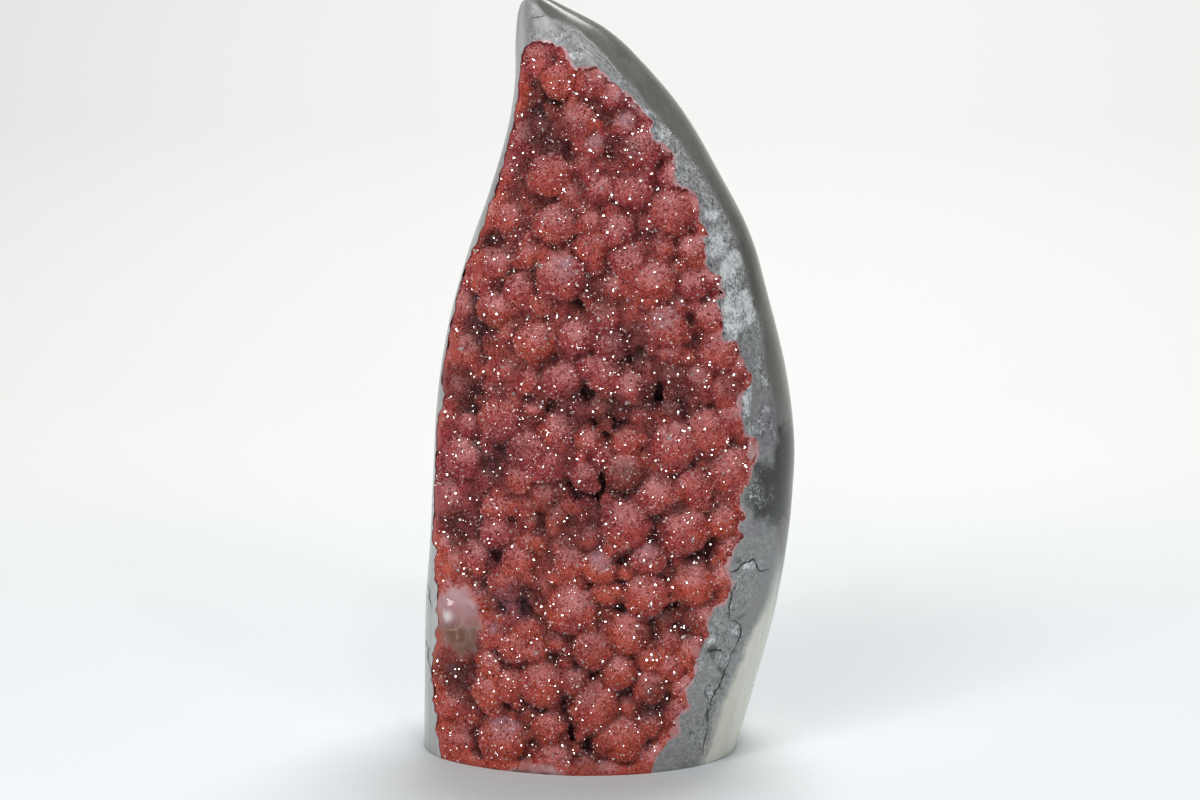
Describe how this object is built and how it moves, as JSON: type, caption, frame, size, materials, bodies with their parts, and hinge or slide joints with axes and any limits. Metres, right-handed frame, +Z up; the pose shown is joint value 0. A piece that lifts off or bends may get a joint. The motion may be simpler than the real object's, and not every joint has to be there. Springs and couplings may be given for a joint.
{
  "type": "cut base amethyst stone",
  "caption": "Tall flame-shaped quartz stone with a polished grey skin and a front of sparkling red crystal balls, standing on a sawn flat base.",
  "frame": {"origin": "on the plane of the sawn flat base, below the widest part of the stone", "axes": "+Z up along the height of the stone, the crystal front faces -Y, +X to the right when looking at the front"},
  "size_m": [0.125, 0.0917, 0.2534],
  "materials": {
    "red_quartz": "sugary natural quartz crystal over opaque red balls, glossy where it is cut and polished"
  },
  "bodies": {
    "root": {"amethyst": "red_quartz"}
  },
  "joints": []
}
